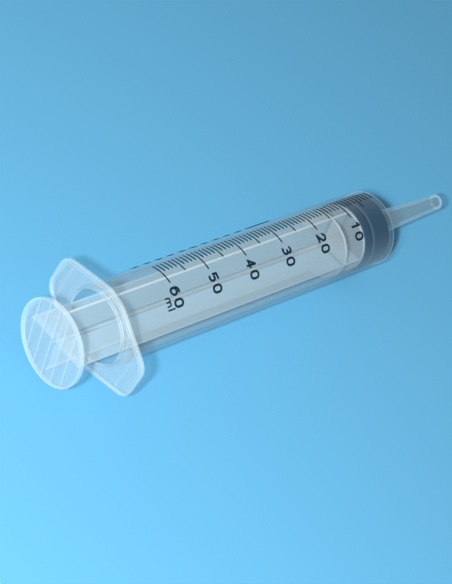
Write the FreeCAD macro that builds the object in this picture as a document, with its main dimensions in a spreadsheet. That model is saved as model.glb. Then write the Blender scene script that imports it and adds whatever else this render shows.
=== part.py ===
# Catheter tip syringe of 60 ml, lying down with its plunger pushed home.
# Row frame, in millimetres: +X runs along the barrel to the tip, +Y along the finger flange,
# and +Z up through the middle of the printed scale. The origin lies under the middle of the
# whole length, on the surface that the flange's lower flat stands on.
# Inside each body, x is counted from the flange's rear face and the barrel's axis is y = z = 0.
# Angles round the axis are counted from +Z towards -Y.
import FreeCAD, Part
import math
import os
import re
import Sketcher

SIZES = {
    # Barrel
    "barrel_radius": 14.5,
    "barrel_wall": 1.15,
    "end_wall": 1.5,
    "front_edge_round": 0.8,
    # Bead inside the mouth that keeps the stopper in
    "bead_height": 0.3,
    "bead_setback": 1.0,
    "bead_width": 1.4,
    "bead_ramp_length": 0.8,
    "mouth_flare": 0.4,
    # Finger flange
    "flange_thickness": 1.6,
    "flange_half_length": 24.8,
    "flange_half_width": 18.0,
    "flange_end_half_width": 8.4,
    "flange_flat_half_length": 3.8,
    "flange_shoulder_round": 8.0,
    "flange_end_round": 6.5,
    "flange_edge_round": 0.3,
    "flange_rim_width": 1.3,
    "flange_relief": 0.4,
    "mouth_ring_radius": 14.8,
    "wing_rib_inset": 5.5,
    "wing_rib_width": 0.7,
    "wing_rib_half_length": 8.0,
    # Catheter tip
    "tip_length": 40.5,
    "tip_root_radius": 4.8,
    "tip_end_radius": 3.1,
    "tip_root_fillet": 0.8,
    "tip_end_round": 0.35,
    "tip_bore_radius": 1.85,
    "tip_bore_depth": 10.0,
    "tip_inlet_radius": 3.3,
    # Rubber stopper
    "stopper_clearance": 0.05,
    "stopper_seat_gap": 0.1,
    "stopper_length": 12.8,
    "stopper_rear_rib": 2.8,
    "stopper_groove": 2.0,
    "stopper_groove_depth": 0.9,
    "stopper_groove_ramp_length": 0.4,
    "stopper_edge_round": 0.4,
    # Plunger rod
    "rod_roll": 76.8,
    "rod_joint_clearance": 0.1,
    "rod_disc_clearance": 0.3,
    "rod_fin_inset": 0.1,
    "rod_fin_thickness": 1.0,
    "rod_core_radius": 1.1,
    "rod_front_disc": 1.2,
    "rod_guide_disc": 0.9,
    "rod_guide_setback": 10.7,
    "rod_neck_radius": 4.0,
    "rod_neck_length": 3.0,
    "rod_head_radius": 6.5,
    "rod_head_length": 4.0,
    # Thumb disc
    "thumb_stand_off": 18.6,
    "thumb_radius": 15.75,
    "thumb_thickness": 1.5,
    "thumb_relief": 0.4,
    "thumb_lip": 0.8,
    "thumb_edge_round": 0.3,
    "thumb_ridge_width": 0.6,
    "thumb_ridge_pitch": 4.8,
    # Printed scale
    "millilitre": 1000.0,
    "scale_capacity": 60,
    "scale_last_setback": 26.2,
    "scale_zero_setback": 0.75,
    "ink_lift": 0.02,
    "ink_thickness": 0.06,
    "tick_width": 0.55,
    "tick_start_angle": -37.4,
    "tick_one_sweep": 18.5,
    "tick_five_sweep": 10.1,
    "tick_ten_sweep": 10.3,
    "digit_width": 3.3,
    "digit_height": 4.3,
    "digit_stroke": 0.88,
    "digit_first_angle": 14.3,
    "digit_second_angle": 31.0,
    "unit_letter_height": 2.1,
    "unit_tall_height": 3.2,
    "unit_arch_width": 1.4,
    "unit_stroke": 0.6,
    "unit_drop": 5.3,
    "unit_first_angle": 26.0,
    "unit_second_angle": 36.5,
    # Plain dashes on the barrel's side
    "dash_angle": -64.0,
    "dash_sweep": 9.0,
    "dash_first_setback": 22.0,
    "dash_length": 2.4,
    "dash_pitch": 5.4,
    "dash_count": 10,
    "band_setback": 76.0,
    "band_length": 11.0,
}

DERIVED = {
    "bore_radius": "barrel_radius - barrel_wall",
    "scale_pitch": "millilitre / (pi * bore_radius^2)",
    "scale_zero": "scale_last_setback + scale_capacity * scale_pitch",
    "barrel_length": "scale_zero + scale_zero_setback",
    "bead_radius": "bore_radius - bead_height",
    "bore_end": "barrel_length - end_wall",
    "tip_end": "barrel_length + tip_length",
    "flange_taper": "atan((flange_half_width - flange_end_half_width)"
                    " / (flange_half_length - flange_flat_half_length)) / 1deg",
    "stopper_radius": "bore_radius - stopper_clearance",
    "stopper_front": "bore_end - stopper_seat_gap",
    "stopper_rear": "stopper_front - stopper_length",
    "rod_disc_radius": "bead_radius - rod_disc_clearance",
    "rod_fin_radius": "rod_disc_radius - rod_fin_inset",
    "rod_front": "stopper_rear - rod_joint_clearance",
    "rod_head_rear": "rod_front + rod_neck_length",
    "rod_head_front": "rod_head_rear + rod_head_length",
    "ridge_reach": "thumb_radius - thumb_lip / 2",
    "ink_inside": "barrel_radius + ink_lift",
    "ink_outside": "ink_inside + ink_thickness",
    "middle": "(tip_end - thumb_stand_off) / 2",
}

FULL_TURN = 360
HALF_TURN = 180
QUARTER_TURN = 90
FIVE_COUNT = 5
TEN_COUNT = 10
RIDGES_EACH_SIDE = 2

# How the printed digits are drawn: angles in degrees, and shares of half the digit's size
TWO_NECK_ANGLE = 35
THREE_TAIL_ANGLE = 55
FIVE_TAIL_ANGLE = 145
FIVE_BOWL_SWEEP = 270
SIX_HOOK_ANGLE = 45
ONE_STEM_SHARE = 0.25
ONE_FLAG_RUN_SHARE = 0.8
ONE_FLAG_DROP_SHARE = 0.6
THREE_UPPER_SHARE = 0.47
FOUR_CROSSING_SHARE = 0.42
FOUR_STEM_SHARE = 0.45
FIVE_BOWL_SHARE = 0.62
FIVE_TOP_SHARE = 0.75
FIVE_WAIST_SHARE = 0.85

OVERSHOOT = 5.0
SAME = 0.0001
X_AXIS = FreeCAD.Vector(1, 0, 0)
Z_AXIS = FreeCAD.Vector(0, 0, 1)
ORIGIN = FreeCAD.Vector(0, 0, 0)

doc = FreeCAD.newDocument("catheter_tip_syringe")
sheet = doc.addObject("Spreadsheet::Sheet", "Sizes")
WORD = re.compile(r"[a-z_]+")


def formula(text):
    """The text with every size's name pointed at its cell in the sheet."""
    def cell(word):
        return "Sizes." + word[0] if word[0] in SIZES or word[0] in DERIVED else word[0]
    return WORD.sub(cell, text)


def value(text):
    """What a formula of sizes comes to now."""
    result = sheet.evalExpression(formula(text))
    return float(getattr(result, "Value", result))


def fill_sheet():
    """One row for each driving size, then one for each size worked out from them."""
    cells = [(name, str(number)) for name, number in SIZES.items()]
    cells += [(name, "=" + text) for name, text in DERIVED.items()]
    for row, (name, text) in enumerate(cells, start=1):
        sheet.set(f"A{row}", name)
        sheet.set(f"B{row}", text)
        sheet.setAlias(f"B{row}", name)
    doc.recompute()


def bind(thing, place, text):
    thing.setExpression(place, formula(text))


def seat(thing, roll=None):
    """Puts a piece on the barrel's axis in the row frame, rolled about that axis if asked."""
    if roll:
        thing.Placement = FreeCAD.Placement(ORIGIN, FreeCAD.Rotation(X_AXIS, value(roll)))
        bind(thing, "Placement.Rotation.Angle", roll)
    bind(thing, "Placement.Base.x", "-middle")
    bind(thing, "Placement.Base.z", "flange_half_width")


def new_body(name):
    body = doc.addObject("PartDesign::Body", name)
    body.Label = name
    return body


def new_sketch(body, name, plane, set_back=None, roll=0):
    """A sketch on one of the body's own planes, moved along its normal or rolled about X."""
    sketch = body.newObject("Sketcher::SketchObject", name)
    face = next(item for item in body.Origin.OriginFeatures if item.Role == plane)
    sketch.AttachmentSupport = [(face, "")]
    sketch.MapMode = "FlatFace"
    sketch.AttachmentOffset = FreeCAD.Placement(ORIGIN, FreeCAD.Rotation(X_AXIS, roll))
    if set_back:
        bind(sketch, "AttachmentOffset.Base.z", set_back)
    return sketch


def add_loop(sketch, corners):
    """A closed loop of straight lines. Each corner is a pair of formulas from the origin."""
    spots = [FreeCAD.Vector(value(across), value(up), 0) for across, up in corners]
    first = sketch.GeometryCount
    sketch.addGeometry([Part.LineSegment(a, b) for a, b in zip(spots, spots[1:] + spots[:1])])
    for step, corner in enumerate(corners):
        line = first + step
        following = first + (step + 1) % len(corners)
        sketch.addConstraint(Sketcher.Constraint("Coincident", line, 2, following, 1))
        for kind, text in zip(("DistanceX", "DistanceY"), corner):
            index = sketch.addConstraint(
                Sketcher.Constraint(kind, -1, 1, line, 1, value(text)))
            bind(sketch, f"Constraints[{index}]", text)


def add_circle(sketch, radius):
    """A circle about the sketch's origin."""
    index = sketch.addGeometry(Part.Circle(ORIGIN, Z_AXIS, value(radius)))
    sketch.addConstraint(Sketcher.Constraint("Coincident", index, 3, -1, 1))
    index = sketch.addConstraint(Sketcher.Constraint("Radius", index, value(radius)))
    bind(sketch, f"Constraints[{index}]", radius)


def turned(body, kind, name, sketch, sweep=None):
    """Revolves a sketch about the barrel's axis."""
    feature = body.newObject(kind, name)
    feature.Profile = sketch
    feature.ReferenceAxis = (sketch, ["H_Axis"])
    feature.Angle = FULL_TURN
    if sweep:
        bind(feature, "Angle", sweep)
    doc.recompute()
    return feature


def pushed(body, kind, name, sketch, length, reverse=False, both_ways=False):
    """Pads or pockets a sketch by a length."""
    feature = body.newObject(kind, name)
    feature.Profile = sketch
    bind(feature, "Length", length)
    feature.Reversed = reverse
    if both_ways:
        feature.SideType = "Symmetric"
    doc.recompute()
    return feature


def rounded(body, name, base, radius, wanted):
    """Fillets the edges of a feature that the test picks."""
    picked = [f"Edge{number}" for number, edge in enumerate(base.Shape.Edges, start=1)
              if wanted(edge)]
    fillet = body.newObject("PartDesign::Fillet", name)
    fillet.Base = (base, picked)
    bind(fillet, "Radius", radius)
    doc.recompute()
    return fillet


def ring_edge(x, radius):
    """A test for the circle of this radius about the axis at x."""
    def wanted(edge):
        curve = edge.Curve
        return (isinstance(curve, Part.Circle) and abs(curve.Radius - value(radius)) < SAME
                and abs(curve.Center.x - value(x)) < SAME)
    return wanted


def corner_edge(across, up):
    """A test for the edges along X at this distance from the axis both ways."""
    def wanted(edge):
        middle = edge.CenterOfMass
        return (isinstance(edge.Curve, Part.Line) and abs(edge.tangentAt(0).x) > 1 - SAME
                and abs(abs(middle.y) - value(across)) < SAME
                and abs(abs(middle.z) - value(up)) < SAME)
    return wanted


def outline_edge(edge):
    """A test for the flange's outer edges, on its rear and front faces."""
    curve = edge.Curve
    on_tube = isinstance(curve, Part.Circle) and abs(curve.Radius - value("barrel_radius")) < SAME
    place = edge.CenterOfMass.x
    return not on_tube and min(abs(place), abs(place - value("flange_thickness"))) < SAME


def flange_outline(inset=""):
    """The flange's eight corners, or those of the same outline drawn in by an inset."""
    half_length = "flange_half_length"
    half_width = "flange_half_width"
    flat = "flange_flat_half_length"
    end = "flange_end_half_width"
    if inset:
        half_length += f" - {inset}"
        half_width += f" - {inset}"
        flat += f" - {inset} * tan(flange_taper / 2)"
        end += f" - {inset} * tan(({QUARTER_TURN} - flange_taper) / 2)"
    corners = [(flat, half_width), (half_length, end)]
    outline = corners + [(across, f"-({up})") for across, up in reversed(corners)]
    return outline + [(f"-({across})", up) for across, up in reversed(outline)]


def make_barrel():
    """Tube, closed front, catheter tip and finger flange, moulded as one piece."""
    body = new_body("barrel")
    outside = new_sketch(body, "barrel_outside", "XZ_Plane")
    add_loop(outside, [
        ("0", "0"),
        ("0", "mouth_ring_radius"),
        ("flange_relief", "mouth_ring_radius"),
        ("flange_thickness / 2", "barrel_radius"),
        ("barrel_length", "barrel_radius"),
        ("barrel_length", "tip_root_radius"),
        ("tip_end", "tip_end_radius"),
        ("tip_end", "0"),
    ])
    tube = turned(body, "PartDesign::Revolution", "barrel_solid", outside)
    outline = new_sketch(body, "flange_outline", "YZ_Plane")
    add_loop(outline, flange_outline())
    flange = pushed(body, "PartDesign::Pad", "flange", outline, "flange_thickness")
    shoulders = rounded(body, "flange_shoulders", flange, "flange_shoulder_round",
                        corner_edge("flange_flat_half_length", "flange_half_width"))
    ends = rounded(body, "flange_ends", shoulders, "flange_end_round",
                   corner_edge("flange_half_length", "flange_end_half_width"))
    rounded(body, "flange_edges", ends, "flange_edge_round", outline_edge)
    relief = new_sketch(body, "flange_relief_outline", "YZ_Plane")
    inner = flange_outline("flange_rim_width")
    add_loop(relief, inner)
    add_circle(relief, "mouth_ring_radius")
    rib_inner = "flange_half_length - wing_rib_inset - wing_rib_width"
    rib_outer = "flange_half_length - wing_rib_inset"
    for side in ("", "-"):
        add_loop(relief, [
            (f"{side}({rib_inner})", "-wing_rib_half_length"),
            (f"{side}({rib_outer})", "-wing_rib_half_length"),
            (f"{side}({rib_outer})", "wing_rib_half_length"),
            (f"{side}({rib_inner})", "wing_rib_half_length"),
        ])
    hollow = pushed(body, "PartDesign::Pocket", "flange_hollow", relief, "flange_relief",
                    reverse=True)
    hollow_ends = rounded(body, "flange_hollow_ends", hollow, "flange_end_round - flange_rim_width",
                          corner_edge(*inner[1]))
    front = rounded(body, "front_edge", hollow_ends, "front_edge_round",
                    ring_edge("barrel_length", "barrel_radius"))
    root = rounded(body, "tip_root", front, "tip_root_fillet",
                   ring_edge("barrel_length", "tip_root_radius"))
    rounded(body, "tip_end_edge", root, "tip_end_round", ring_edge("tip_end", "tip_end_radius"))
    inside = new_sketch(body, "barrel_inside", "XZ_Plane")
    bead_start = "bead_setback"
    bead_end = f"{bead_start} + bead_width"
    bore_start = f"{bead_end} + bead_ramp_length"
    tip_bore_start = "tip_end - tip_bore_depth"
    add_loop(inside, [
        (f"-{OVERSHOOT}", "0"),
        (f"-{OVERSHOOT}", "bead_radius + mouth_flare"),
        ("0", "bead_radius + mouth_flare"),
        (bead_start, "bead_radius"),
        (bead_end, "bead_radius"),
        (bore_start, "bore_radius"),
        ("bore_end", "bore_radius"),
        ("bore_end", "tip_inlet_radius"),
        (tip_bore_start, "tip_bore_radius"),
        (f"tip_end + {OVERSHOOT}", "tip_bore_radius"),
        (f"tip_end + {OVERSHOOT}", "0"),
    ])
    turned(body, "PartDesign::Groove", "bore", inside)
    seat(body)
    return body


def make_stopper():
    """Rubber stopper with a rear rib, a groove and a broad front rib, hollow for the head."""
    body = new_body("stopper")
    section = new_sketch(body, "stopper_section", "XZ_Plane")
    rib_end = "stopper_rear + stopper_rear_rib"
    groove_end = f"{rib_end} + stopper_groove"
    neck_hole = "rod_neck_radius + rod_joint_clearance"
    head_hole = "rod_head_radius + rod_joint_clearance"
    add_loop(section, [
        ("stopper_rear", neck_hole),
        ("stopper_rear", "stopper_radius"),
        (rib_end, "stopper_radius"),
        (f"{rib_end} + stopper_groove_ramp_length", "stopper_radius - stopper_groove_depth"),
        (f"{groove_end} - stopper_groove_ramp_length", "stopper_radius - stopper_groove_depth"),
        (groove_end, "stopper_radius"),
        ("stopper_front", "stopper_radius"),
        ("stopper_front", "0"),
        ("rod_head_front + rod_joint_clearance", "0"),
        ("rod_head_front + rod_joint_clearance", head_hole),
        ("rod_head_rear - rod_joint_clearance", head_hole),
        ("rod_head_rear - rod_joint_clearance", neck_hole),
    ])
    solid = turned(body, "PartDesign::Revolution", "stopper_solid", section)
    rear = rounded(body, "stopper_rear_edge", solid, "stopper_edge_round",
                   ring_edge("stopper_rear", "stopper_radius"))
    rounded(body, "stopper_front_edge", rear, "stopper_edge_round",
            ring_edge("stopper_front", "stopper_radius"))
    seat(body)
    return body


def make_plunger_rod():
    """Cross-shaped rod with its thumb disc, guide disc, front disc and snap head."""
    body = new_body("plunger_rod")
    thumb_front = "thumb_thickness - thumb_stand_off"
    fin_start = f"{thumb_front} - thumb_thickness / 2"
    fin_end = "rod_front - rod_front_disc / 2"
    for name, plane in (("upright_fins", "XZ_Plane"), ("level_fins", "XY_Plane")):
        fins = new_sketch(body, f"{name}_outline", plane)
        add_loop(fins, [
            (fin_start, "-rod_fin_radius"),
            (fin_end, "-rod_fin_radius"),
            (fin_end, "rod_fin_radius"),
            (fin_start, "rod_fin_radius"),
        ])
        pushed(body, "PartDesign::Pad", name, fins, "rod_fin_thickness", both_ways=True)
    core = new_sketch(body, "core_section", "XZ_Plane")
    add_loop(core, [
        (fin_start, "0"),
        (fin_start, "rod_core_radius"),
        (fin_end, "rod_core_radius"),
        (fin_end, "0"),
    ])
    turned(body, "PartDesign::Revolution", "core", core)
    discs = new_sketch(body, "disc_sections", "XZ_Plane")
    floor = "thumb_relief - thumb_stand_off"
    add_loop(discs, [
        (floor, "0"),
        (floor, "thumb_radius - thumb_lip"),
        ("-thumb_stand_off", "thumb_radius - thumb_lip"),
        ("-thumb_stand_off", "thumb_radius"),
        (thumb_front, "thumb_radius"),
        (thumb_front, "0"),
    ])
    guide = "stopper_rear - rod_guide_setback"
    add_loop(discs, [
        (guide, "0"),
        (guide, "rod_disc_radius"),
        (f"{guide} + rod_guide_disc", "rod_disc_radius"),
        (f"{guide} + rod_guide_disc", "0"),
    ])
    add_loop(discs, [
        ("rod_front - rod_front_disc", "0"),
        ("rod_front - rod_front_disc", "rod_disc_radius"),
        ("rod_front", "rod_disc_radius"),
        ("rod_front", "rod_neck_radius"),
        ("rod_head_rear", "rod_neck_radius"),
        ("rod_head_rear", "rod_head_radius"),
        ("rod_head_front", "rod_neck_radius"),
        ("rod_head_front", "0"),
    ])
    turned(body, "PartDesign::Revolution", "discs", discs)
    ridges = new_sketch(body, "thumb_ridge_outlines", "YZ_Plane", set_back="-thumb_stand_off")
    for step in range(-RIDGES_EACH_SIDE, RIDGES_EACH_SIDE + 1):
        reach = f"sqrt(ridge_reach^2 - ({step} * thumb_ridge_pitch)^2)"
        low = f"{step} * thumb_ridge_pitch - thumb_ridge_width / 2"
        high = f"{step} * thumb_ridge_pitch + thumb_ridge_width / 2"
        add_loop(ridges, [
            (f"-{reach}", low), (reach, low), (reach, high), (f"-{reach}", high)])
    ridged = pushed(body, "PartDesign::Pad", "thumb_ridges", ridges, "thumb_relief")
    rounded(body, "thumb_edge", ridged, "thumb_edge_round",
            ring_edge(thumb_front, "thumb_radius"))
    seat(body, roll="rod_roll")
    return body


def print_patch(body, name, start, end, angle, sweep):
    """A patch of ink on the barrel, from start to end along X and swept round it."""
    section = new_sketch(body, f"{name}_section", "XZ_Plane", roll=value(angle))
    add_loop(section, [
        (start, "ink_inside"), (end, "ink_inside"), (end, "ink_outside"), (start, "ink_outside")])
    return turned(body, "PartDesign::Revolution", name, section, sweep)


def repeat(body, name, patch, length, count):
    """A row of the same patch, from the first one back towards the flange."""
    row = body.newObject("PartDesign::LinearPattern", name)
    row.Originals = [patch]
    axis = next(item for item in body.Origin.OriginFeatures if item.Role == "X_Axis")
    row.Direction = (axis, [""])
    row.Reversed = True
    bind(row, "Length", length)
    row.Occurrences = count
    body.Tip = row
    doc.recompute()
    return row


def make_scale_lines():
    """A line for each millilitre, longer at every fifth and longest at every tenth."""
    body = new_body("scale_lines")
    body.AllowCompound = True
    angle = "tick_start_angle"
    for name, step, sweep in (("one", 1, "tick_one_sweep"), ("five", FIVE_COUNT, "tick_five_sweep"),
                              ("ten", TEN_COUNT, "tick_ten_sweep")):
        centre = f"scale_zero - {step} * scale_pitch"
        patch = print_patch(body, f"{name}_line", f"{centre} - tick_width / 2",
                            f"{centre} + tick_width / 2", angle, sweep)
        count = int(value("scale_capacity") / step)
        repeat(body, f"{name}_lines", patch, f"{(count - 1) * step} * scale_pitch", count)
        angle += f" + {sweep}"
    seat(body)
    return body


def make_side_marks():
    """Plain dashes and one plain band, where the barrel's side is printed."""
    body = new_body("side_marks")
    body.AllowCompound = True
    last = "dash_first_setback + (dash_count - 1) * dash_pitch"
    dash = print_patch(body, "dash", last, f"{last} + dash_length", "dash_angle", "dash_sweep")
    repeat(body, "dashes", dash, "(dash_count - 1) * dash_pitch", int(value("dash_count")))
    print_patch(body, "band", "band_setback", "band_setback + band_length",
                "dash_angle", "dash_sweep")
    seat(body)
    return body


def bar(start, end, stroke):
    """A straight stroke with square ends, as a prism through the barrel's surface."""
    run = FreeCAD.Vector(end[0] - start[0], end[1] - start[1], 0)
    box = Part.makeBox(run.Length, stroke, 2 * OVERSHOOT,
                       FreeCAD.Vector(0, -stroke / 2, value("barrel_radius") - OVERSHOOT))
    turn = FreeCAD.Rotation(Z_AXIS, math.degrees(math.atan2(run.y, run.x)))
    box.Placement = FreeCAD.Placement(FreeCAD.Vector(*start, 0), turn) * box.Placement
    return box


def bend(centre, radius, start, sweep, stroke):
    """A round stroke about a centre, from a start angle through a sweep."""
    foot = FreeCAD.Vector(*centre, value("barrel_radius") - OVERSHOOT)
    outer = Part.makeCylinder(radius + stroke / 2, 2 * OVERSHOOT, foot, Z_AXIS, sweep)
    inner = Part.makeCylinder(radius - stroke / 2, 2 * OVERSHOOT, foot, Z_AXIS)
    part = outer.cut(inner)
    part.rotate(foot, Z_AXIS, start)
    return part


def digit_strokes():
    """The strokes of each digit, about the middle of its cell, right then up."""
    stroke = value("digit_stroke")
    side = (value("digit_width") - stroke) / 2
    top = (value("digit_height") - stroke) / 2
    end = stroke / 2
    rise = top - side
    one_stem = side * ONE_STEM_SHARE
    one_flag = (-side * ONE_FLAG_RUN_SHARE, top - side * ONE_FLAG_DROP_SHARE)
    two_neck = (side * math.cos(math.radians(TWO_NECK_ANGLE)),
                rise - side * math.sin(math.radians(TWO_NECK_ANGLE)))
    upper = top * THREE_UPPER_SHARE
    lower = top - upper
    waist = lower - upper
    spread = side - lower
    four_stem = side * FOUR_STEM_SHARE
    crossing = -top * FOUR_CROSSING_SHARE
    bowl = top * FIVE_BOWL_SHARE
    five_corner = -side * FIVE_TOP_SHARE

    def line(start, finish):
        return bar(start, finish, stroke)

    def curve(centre, radius, start, sweep):
        return bend(centre, radius, start, sweep, stroke)

    return {
        "0": [line((-side, -rise), (-side, rise)), line((side, -rise), (side, rise)),
              curve((0, rise), side, 0, HALF_TURN), curve((0, -rise), side, HALF_TURN, HALF_TURN)],
        "1": [line((one_stem, -top - end), (one_stem, top + end)),
              line((one_stem, top), one_flag)],
        "2": [curve((0, rise), side, -TWO_NECK_ANGLE, HALF_TURN + TWO_NECK_ANGLE),
              line(two_neck, (end / 2 - side, -top)), line((-side - end, -top), (side + end, -top))],
        "3": [curve((spread, top - upper), upper, -QUARTER_TURN, HALF_TURN),
              line((-spread, top), (spread, top)),
              curve((-spread, top - upper), upper, QUARTER_TURN, THREE_TAIL_ANGLE),
              curve((spread, lower - top), lower, -QUARTER_TURN, HALF_TURN),
              line((-spread, -top), (spread, -top)),
              curve((-spread, lower - top), lower, -QUARTER_TURN - THREE_TAIL_ANGLE,
                    THREE_TAIL_ANGLE),
              line((-spread, waist), (spread, waist))],
        "4": [line((four_stem, -top - end), (four_stem, top + end)),
              line((-side - end, crossing), (side + end, crossing)),
              line((four_stem, top), (-side, crossing))],
        "5": [line((five_corner, top), (side, top)),
              line((five_corner, top + end), (-side * FIVE_WAIST_SHARE, 0)),
              curve((spread / 2, bowl - top), bowl, -FIVE_TAIL_ANGLE, FIVE_BOWL_SWEEP)],
        "6": [curve((0, -rise), side, 0, FULL_TURN), line((-side, -rise), (-side, rise)),
              curve((0, rise), side, SIX_HOOK_ANGLE, HALF_TURN - SIX_HOOK_ANGLE)],
    }


def unit_strokes():
    """The letters of the unit, standing on their base line."""
    stroke = value("unit_stroke")
    arch = value("unit_arch_width")
    height = value("unit_letter_height")
    radius = arch / 2
    shoulder = height - radius - stroke / 2
    stems = [bar((place, 0), (place, shoulder), stroke) for place in (-arch, 0, arch)]
    arches = [bend((place, shoulder), radius, 0, HALF_TURN, stroke) for place in (-radius, radius)]
    tall = bar((0, 0), (0, value("unit_tall_height")), stroke)
    return stems + arches, [tall]


def printed_sign(strokes, x, angle, shell):
    """One digit or letter laid on the barrel at x and at an angle round it."""
    upright = FreeCAD.Placement(ORIGIN, FreeCAD.Rotation(Z_AXIS, -QUARTER_TURN))
    place = FreeCAD.Placement(FreeCAD.Vector(x, 0, 0), FreeCAD.Rotation(X_AXIS, angle)) * upright
    sign = strokes[0].fuse(strokes[1:]) if strokes[1:] else strokes[0].copy()
    sign.Placement = place * sign.Placement
    return sign.common(shell).removeSplitter()


def make_scale_numbers():
    """The tens beside their lines, and the unit under the last of them."""
    length = value("barrel_length")
    shell = Part.makeCylinder(value("ink_outside"), length, ORIGIN, X_AXIS)
    shell = shell.cut(Part.makeCylinder(value("ink_inside"), length, ORIGIN, X_AXIS))
    digits = digit_strokes()
    angles = (value("digit_first_angle"), value("digit_second_angle"))
    capacity = int(value("scale_capacity"))
    signs = []
    for tens in range(TEN_COUNT, capacity + 1, TEN_COUNT):
        x = value(f"scale_zero - {tens} * scale_pitch")
        signs += [printed_sign(digits[digit], x, angle, shell)
                  for digit, angle in zip(str(tens), angles)]
    letters = zip(unit_strokes(), ("unit_first_angle", "unit_second_angle"))
    foot = value(f"scale_zero - {capacity} * scale_pitch - unit_drop")
    signs += [printed_sign(strokes, foot, value(angle), shell) for strokes, angle in letters]
    numbers = doc.addObject("Part::Feature", "scale_numbers")
    numbers.Label = "scale_numbers"
    numbers.Shape = Part.makeCompound([solid for sign in signs for solid in sign.Solids])
    numbers.Placement = FreeCAD.Placement(
        FreeCAD.Vector(-value("middle"), 0, value("flange_half_width")), FreeCAD.Rotation())
    return numbers


def export(pieces):
    """Checks every object and every piece, then writes one file for each piece."""
    doc.recompute()
    for thing in doc.Objects:
        if "Invalid" in thing.State or "Error" in thing.State:
            raise RuntimeError(f"{thing.Name} did not build: {thing.State}")
    for piece in pieces:
        if piece.Shape.isNull() or not piece.Shape.isValid() or not piece.Shape.Solids:
            raise RuntimeError(f"{piece.Label} has no valid solid")
    os.makedirs("parts", exist_ok=True)
    for piece in pieces:
        piece.Shape.exportStep(f"parts/{piece.Label}.step")
        box = piece.Shape.BoundBox
        print(f"{piece.Label}: {len(piece.Shape.Solids)} solid(s), {piece.Shape.Volume:.1f} mm3, "
              f"X {box.XMin:.2f} to {box.XMax:.2f}, Y {box.YMin:.2f} to {box.YMax:.2f}, "
              f"Z {box.ZMin:.2f} to {box.ZMax:.2f}")


fill_sheet()
export([
    make_barrel(),
    make_stopper(),
    make_plunger_rod(),
    make_scale_lines(),
    make_side_marks(),
    make_scale_numbers(),
])
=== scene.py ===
import math

import bpy
from mathutils import Matrix, Vector


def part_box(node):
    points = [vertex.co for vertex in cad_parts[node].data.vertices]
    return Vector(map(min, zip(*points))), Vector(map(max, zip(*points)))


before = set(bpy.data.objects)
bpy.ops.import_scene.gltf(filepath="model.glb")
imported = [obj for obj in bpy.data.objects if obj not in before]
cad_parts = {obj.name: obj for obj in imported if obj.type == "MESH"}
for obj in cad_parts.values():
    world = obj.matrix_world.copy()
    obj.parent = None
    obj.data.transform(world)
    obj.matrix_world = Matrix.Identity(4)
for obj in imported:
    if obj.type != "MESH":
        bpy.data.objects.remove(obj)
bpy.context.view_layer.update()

# The camera stands where the photograph was taken from, 0.7 m away, rolled to the left.
# Its own right and up directions are written along the row's X, Y and Z.
PHOTO_WIDTH = 452
PHOTO_HEIGHT = 584
FOCAL_PIXELS = 1935
SENSOR_MM = 36.0
NEAREST_SEEN = 0.01
CAMERA_PLACE = Vector((-0.4538, -0.2040, 0.5040))
CAMERA_RIGHT = Vector((0.72281, -0.54972, 0.41874))
CAMERA_UP = Vector((0.26981, 0.78237, 0.56134))
CAMERA_BACK = CAMERA_RIGHT.cross(CAMERA_UP)

# Small key light beside the camera, broad fill from the right and a dim sky.
# Sizes and distances in metres, powers in watts
KEY_LEFT = 0.08
KEY_DOWN = 0.01
KEY_SIZE = 0.04
KEY_POWER = 7.5
FILL_BACK = 0.5
FILL_RIGHT = 0.8
FILL_UP = 0.5
FILL_SIZE = 0.9
FILL_POWER = 1.0
SKY_COLOUR = (0.95, 0.98, 1.0)
SKY_STRENGTH = 0.25

# Sizes of the object that the looks depend on, in metres, read from the frame or from the barrel
BARREL_LOW, BARREL_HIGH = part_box("barrel")
ROD_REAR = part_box("plunger_rod")[0].x
STOPPER_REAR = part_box("stopper")[0].x
REAR = BARREL_LOW.x
FRONT = BARREL_HIGH.x
AXIS_HEIGHT = BARREL_HIGH.z / 2
BARREL_RADIUS = 0.0145
TIP_LENGTH = 0.0405
FLANGE_THICKNESS = 0.0016
SHOULDER = FRONT - TIP_LENGTH
MIDDLE = Vector((0, 0, AXIS_HEIGHT))

# Floor: the syringe really rests on the flange's lower flat and on the barrel's front
FLOOR_SIZE = 4.0
FLOOR_DROP = 0.0002
FLOOR_COLOUR = (0.098, 0.365, 0.590)

# Where a face counts as part of a rim, an edge or a bore: lengths and radii in metres
NEAR = 0.0001
TUBE_SLACK = 0.0002
TIP_RING_LENGTH = 0.0005
TIP_MOUTH_RADIUS = 0.0019
MOUTH_DEPTH = 0.0011
MOUTH_INNER = 0.0129
MOUTH_OUTER = 0.0146
SHOULDER_REACH = 0.0009
SHOULDER_RADIUS = 0.0135
INLET_DEPTH = 0.002
INLET_RADIUS = 0.0034
FIN_EDGE_INNER = 0.0122
FIN_EDGE_OUTER = 0.0135
CORE_RADIUS = 0.0012
THUMB_DEPTH = 0.0016
THUMB_EDGE_RADIUS = 0.0153
RIB_END = 0.0028
GROOVE_END = 0.0048
RAMP = 0.0004
TINY = 1e-6

# How much of a face's normal has to point along X, or away from the axis
FLAT = 0.95
SIDEWAYS = 0.5
OUTWARD = 0.9

# Colours of the plastics, the rubber and the ink
BARREL_TINT = (0.58, 0.80, 0.90)
PLATE_TINT = (0.62, 0.74, 0.79)
# Whiter tint for rims and edges: partly the plastic seen edge-on, partly a painted highlight along
# them
EDGE_TINT_WITH_PAINTED_HIGHLIGHT = (0.70, 0.84, 0.90)
# Dark painted shade for the tip's bore, standing in for the shade inside the hollow channel
BORE_PAINTED_SHADE = (0.10, 0.24, 0.32)
FIN_TINT = (0.62, 0.82, 0.92)
# Near-white tint for the rod's core, whose cover thins aslant: a painted highlight line along the
# axis
ROD_CORE_PAINTED_HIGHLIGHT = (0.86, 0.97, 1.0)
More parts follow.
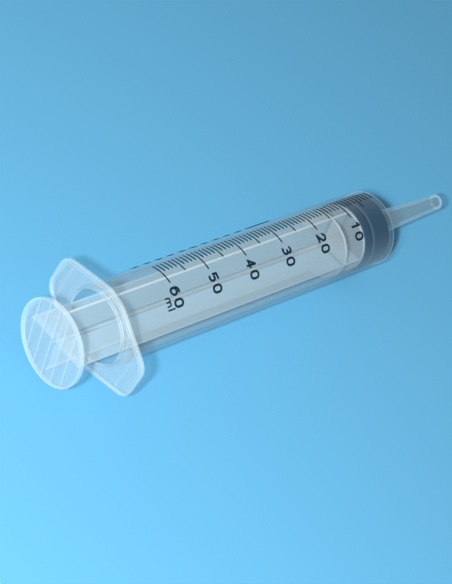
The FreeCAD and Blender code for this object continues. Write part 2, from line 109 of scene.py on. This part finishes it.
# Near-black rubber whose navy cast is a painted reflection of the blue floor; the groove and lip
# colours carry the same cast
DARK_RUBBER_AND_PAINTED_REFLECTION = (0.002, 0.033, 0.074)
# Painted shade in the stopper's groove and a painted highlight on the ramps beside it
GROOVE_PAINTED_SHADE = (0.001, 0.016, 0.040)
LIP_PAINTED_HIGHLIGHT = (0.022, 0.055, 0.110)
INK_COLOUR = (0.004, 0.018, 0.032)
PLASTIC_IOR = 1.49
DULL = 0.12
BROAD_SHARE = 8


def socket(shader, name):
    return next(item for item in shader.inputs if item.name == name and item.enabled)


def add(tree, kind, **settings):
    """A node with its properties, then its unlinked inputs, set by name."""
    made = tree.nodes.new("ShaderNode" + kind)
    for name, setting in settings.items():
        label = name.replace("_", " ")
        if hasattr(made, name) and not any(item.name == label for item in made.inputs):
            setattr(made, name, setting)
        else:
            socket(made, label).default_value = setting
    return made


def new_material(name, colour, **settings):
    """A fresh material, its node tree and its Principled shader."""
    material = bpy.data.materials.new(name)
    material.use_nodes = True
    tree = material.node_tree
    shader = next(item for item in tree.nodes if item.type == "BSDF_PRINCIPLED")
    socket(shader, "Base Color").default_value = (*colour, 1)
    for label, setting in settings.items():
        socket(shader, label.replace("_", " ")).default_value = setting
    return material, tree, shader


def moulded_surface(tree, shader, grain, depth, rough_low, rough_high):
    """Fine unevenness of a moulded skin: a bump and a roughness that wander over the surface."""
    link = tree.links.new
    place = add(tree, "TexCoord")
    fine = add(tree, "TexNoise", Scale=grain, Detail=3.0, Roughness=0.55)
    broad = add(tree, "TexNoise", Scale=grain / BROAD_SHARE, Detail=2.0, Roughness=0.5)
    link(place.outputs["Object"], fine.inputs["Vector"])
    link(place.outputs["Object"], broad.inputs["Vector"])
    height = add(tree, "Math", operation="ADD")
    link(fine.outputs["Fac"], height.inputs[0])
    link(broad.outputs["Fac"], height.inputs[1])
    bump = add(tree, "Bump", Strength=1.0, Distance=depth)
    link(height.outputs[0], bump.inputs["Height"])
    link(bump.outputs["Normal"], shader.inputs["Normal"])
    spread = add(tree, "MapRange", To_Min=rough_low, To_Max=rough_high)
    link(broad.outputs["Fac"], spread.inputs["Value"])
    link(spread.outputs["Result"], shader.inputs["Roughness"])


def milky_plastic(name, colour, cover, slant_cover, steepness=3.0):
    """Natural polypropylene: milky, half clear, denser where the eye meets it aslant."""
    material, tree, shader = new_material(name, colour, IOR=PLASTIC_IOR)
    moulded_surface(tree, shader, grain=900.0, depth=0.00001, rough_low=0.12, rough_high=0.25)
    slant = add(tree, "LayerWeight", Blend=0.5)
    steep = add(tree, "Math", operation="POWER")
    steep.inputs[1].default_value = steepness
    depth = add(tree, "MapRange", To_Min=cover, To_Max=slant_cover)
    tree.links.new(slant.outputs["Facing"], steep.inputs[0])
    tree.links.new(steep.outputs[0], depth.inputs["Value"])
    tree.links.new(depth.outputs["Result"], shader.inputs["Alpha"])
    return material


def rubber(name, colour):
    material, tree, shader = new_material(name, colour, Specular_IOR_Level=DULL)
    moulded_surface(tree, shader, grain=1500.0, depth=0.000004, rough_low=0.5, rough_high=0.65)
    return material


def ink():
    material, tree, shader = new_material("ink", INK_COLOUR, Specular_IOR_Level=DULL)
    moulded_surface(tree, shader, grain=2500.0, depth=0.000004, rough_low=0.5, rough_high=0.7)
    return material


def dress(name, looks, pick=None):
    """Puts materials on a node. The pick says by name which of them a face takes."""
    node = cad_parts[name]
    node.cycles.shadow_terminator_offset = 0.2
    node.cycles.shadow_terminator_geometry_offset = 0.3
    node.data.materials.clear()
    for material in looks.values():
        node.data.materials.append(material)
    order = list(looks)
    for face in node.data.polygons:
        face.material_index = order.index(pick(face)) if pick else 0
    return node


def radius(place):
    """Distance from the barrel's axis."""
    return math.hypot(place.y, place.z - AXIS_HEIGHT)


def outward(face):
    """How far a face looks away from the barrel's axis: 1 is straight out, -1 straight in."""
    place = face.center
    away = face.normal.y * place.y + face.normal.z * (place.z - AXIS_HEIGHT)
    return away / max(radius(place), TINY)


def barrel_part(face):
    """Rims, rings and edges get denser, whiter plastic than the wall: partly the plastic seen
    edge-on, partly a painted highlight. The tip's bore gets a dark painted shade.
    """
    place = face.center
    x = place.x - REAR
    r = radius(place)
    flat = abs(face.normal.x) > FLAT
    ahead = place.x - SHOULDER
    if place.x > FRONT - TIP_RING_LENGTH:
        return "edge" if r > TIP_MOUTH_RADIUS else "bore"
    if x < FLANGE_THICKNESS + NEAR and r > BARREL_RADIUS + TUBE_SLACK:
        if not flat:
            return "edge"
        return "rim" if x < NEAR else "plate"
    if x < MOUTH_DEPTH and MOUTH_INNER < r < MOUTH_OUTER:
        return "rim" if flat else "edge"
    if abs(ahead) < SHOULDER_REACH and r > SHOULDER_RADIUS:
        return "rim"
    if ahead > -INLET_DEPTH and r < INLET_RADIUS and outward(face) < 0:
        return "bore"
    return "tip" if ahead > NEAR else "wall"


def rod_part(face):
    """The rod's discs, its fins with their outer edges, its core with a painted highlight line, and
    the thumb disc's rim.
    """
    x = face.center.x - ROD_REAR
    r = radius(face.center)
    along = abs(face.normal.x)
    if outward(face) > OUTWARD and FIN_EDGE_INNER < r < FIN_EDGE_OUTER:
        return "fin_edge"
    if outward(face) > OUTWARD and r < CORE_RADIUS:
        return "core"
    if along < SIDEWAYS and x > THUMB_DEPTH:
        return "fin"
    if x < THUMB_DEPTH and r > THUMB_EDGE_RADIUS and along < FLAT:
        return "edge"
    return "rim" if x < NEAR else "disc"


def stopper_part(face):
    """Ribs stay dark against the wall. The groove gets painted shade, darker still, and the lips
    beside it a paler painted highlight.
    """
    place = face.center.x - STOPPER_REAR
    away = math.hypot(face.normal.y, face.normal.z)
    if RIB_END < place < RIB_END + RAMP or GROOVE_END - RAMP < place < GROOVE_END:
        return "lip"
    if RIB_END <= place <= GROOVE_END and away > OUTWARD:
        return "groove"
    return "rib"


def dress_barrel():
    dress("barrel", {
        "wall": milky_plastic("clear_barrel", BARREL_TINT, 0.004, 0.48, steepness=2.6),
        "plate": milky_plastic("clear_barrel_plate", PLATE_TINT, 0.14, 0.6),
        "rim": milky_plastic("clear_barrel_rim", PLATE_TINT, 0.17, 0.7),
        "edge": milky_plastic("clear_barrel_edge", EDGE_TINT_WITH_PAINTED_HIGHLIGHT, 0.32, 0.7),
        # The bore gets the dark painted shade
        "bore": milky_plastic("clear_barrel_bore_painted_shade", BORE_PAINTED_SHADE, 0.25, 0.5),
        "tip": milky_plastic("clear_barrel_tip", BARREL_TINT, 0.06, 0.6, steepness=2.0),
    }, barrel_part)


def dress_rod():
    dress("plunger_rod", {
        "disc": milky_plastic("clear_rod", PLATE_TINT, 0.16, 0.5),
        "fin": milky_plastic("clear_rod_fin", FIN_TINT, 0.25, 0.35),
        # Rims and edges take the whiter tint, partly a painted highlight
        "rim": milky_plastic("clear_rod_rim", EDGE_TINT_WITH_PAINTED_HIGHLIGHT, 0.26, 0.6),
        "edge": milky_plastic("clear_rod_edge", EDGE_TINT_WITH_PAINTED_HIGHLIGHT, 0.34, 0.7),
        # The core is painted as a bright highlight line, densest face-on and fading aslant
        "core": milky_plastic("clear_rod_core_painted_highlight", ROD_CORE_PAINTED_HIGHLIGHT, 0.22, 0.05),
        "fin_edge": milky_plastic("clear_rod_fin_edge", EDGE_TINT_WITH_PAINTED_HIGHLIGHT, 0.44, 0.6),
    }, rod_part)


def dress_stopper():
    dress("stopper", {
        "rib": rubber("rubber", DARK_RUBBER_AND_PAINTED_REFLECTION),
        "groove": rubber("rubber_groove_painted_shade", GROOVE_PAINTED_SHADE),
        "lip": rubber("rubber_lip_painted_highlight", LIP_PAINTED_HIGHLIGHT),
    }, stopper_part)


def dress_prints():
    """The ink casts no shadow, which would fall on the rod as stripes that the photo lacks."""
    printed = {"print": ink()}
    for name in ("scale_lines", "side_marks", "scale_numbers"):
        dress(name, printed).visible_shadow = False


def make_camera():
    data = bpy.data.cameras.new("camera")
    data.sensor_width = SENSOR_MM
    data.sensor_fit = "AUTO"
    data.lens = SENSOR_MM * FOCAL_PIXELS / max(PHOTO_WIDTH, PHOTO_HEIGHT)
    data.clip_start = NEAREST_SEEN
    camera = bpy.data.objects.new("camera", data)
    turn = Matrix((CAMERA_RIGHT, CAMERA_UP, CAMERA_BACK)).transposed()
    camera.matrix_world = Matrix.Translation(CAMERA_PLACE) @ turn.to_4x4()
    bpy.context.scene.collection.objects.link(camera)
    bpy.context.scene.camera = camera


def make_floor():
    """A plain floor that slopes up from under the flange to under the barrel's front."""
    half = FLOOR_SIZE / 2
    heel = REAR + FLANGE_THICKNESS
    slope = (AXIS_HEIGHT - BARREL_RADIUS) / (SHOULDER - heel)
    corners = [(x, y, (x - heel) * slope - FLOOR_DROP)
               for x, y in ((-half, -half), (half, -half), (half, half), (-half, half))]
    mesh = bpy.data.meshes.new("floor")
    mesh.from_pydata(corners, [], [(0, 1, 2, 3)])
    floor = bpy.data.objects.new("floor", mesh)
    bpy.context.scene.collection.objects.link(floor)
    material = new_material("floor", FLOOR_COLOUR, Roughness=0.7)[0]
    mesh.materials.append(material)


def area_light(name, place, size, power):
    """A round area light that looks at the middle of the syringe."""
    data = bpy.data.lights.new(name, "AREA")
    data.shape = "DISK"
    data.size = size
    data.energy = power
    light = bpy.data.objects.new(name, data)
    light.location = place
    light.rotation_mode = "QUATERNION"
    light.rotation_quaternion = (place - MIDDLE).to_track_quat("Z", "Y")
    bpy.context.scene.collection.objects.link(light)


def make_lights():
    key = CAMERA_PLACE - KEY_LEFT * CAMERA_RIGHT - KEY_DOWN * CAMERA_UP
    area_light("key", key, KEY_SIZE, KEY_POWER)
    fill = MIDDLE + FILL_BACK * CAMERA_BACK + FILL_RIGHT * CAMERA_RIGHT + FILL_UP * CAMERA_UP
    area_light("fill", fill, FILL_SIZE, FILL_POWER)
    world = bpy.data.worlds.new("world")
    bpy.context.scene.world = world
    world.use_nodes = True
    sky = world.node_tree.nodes["Background"]
    sky.inputs["Color"].default_value = (*SKY_COLOUR, 1)
    sky.inputs["Strength"].default_value = SKY_STRENGTH


make_camera()
make_floor()
make_lights()
dress_barrel()
dress_rod()
dress_stopper()
dress_prints()

bpy.context.scene.view_settings.view_transform = "Standard"
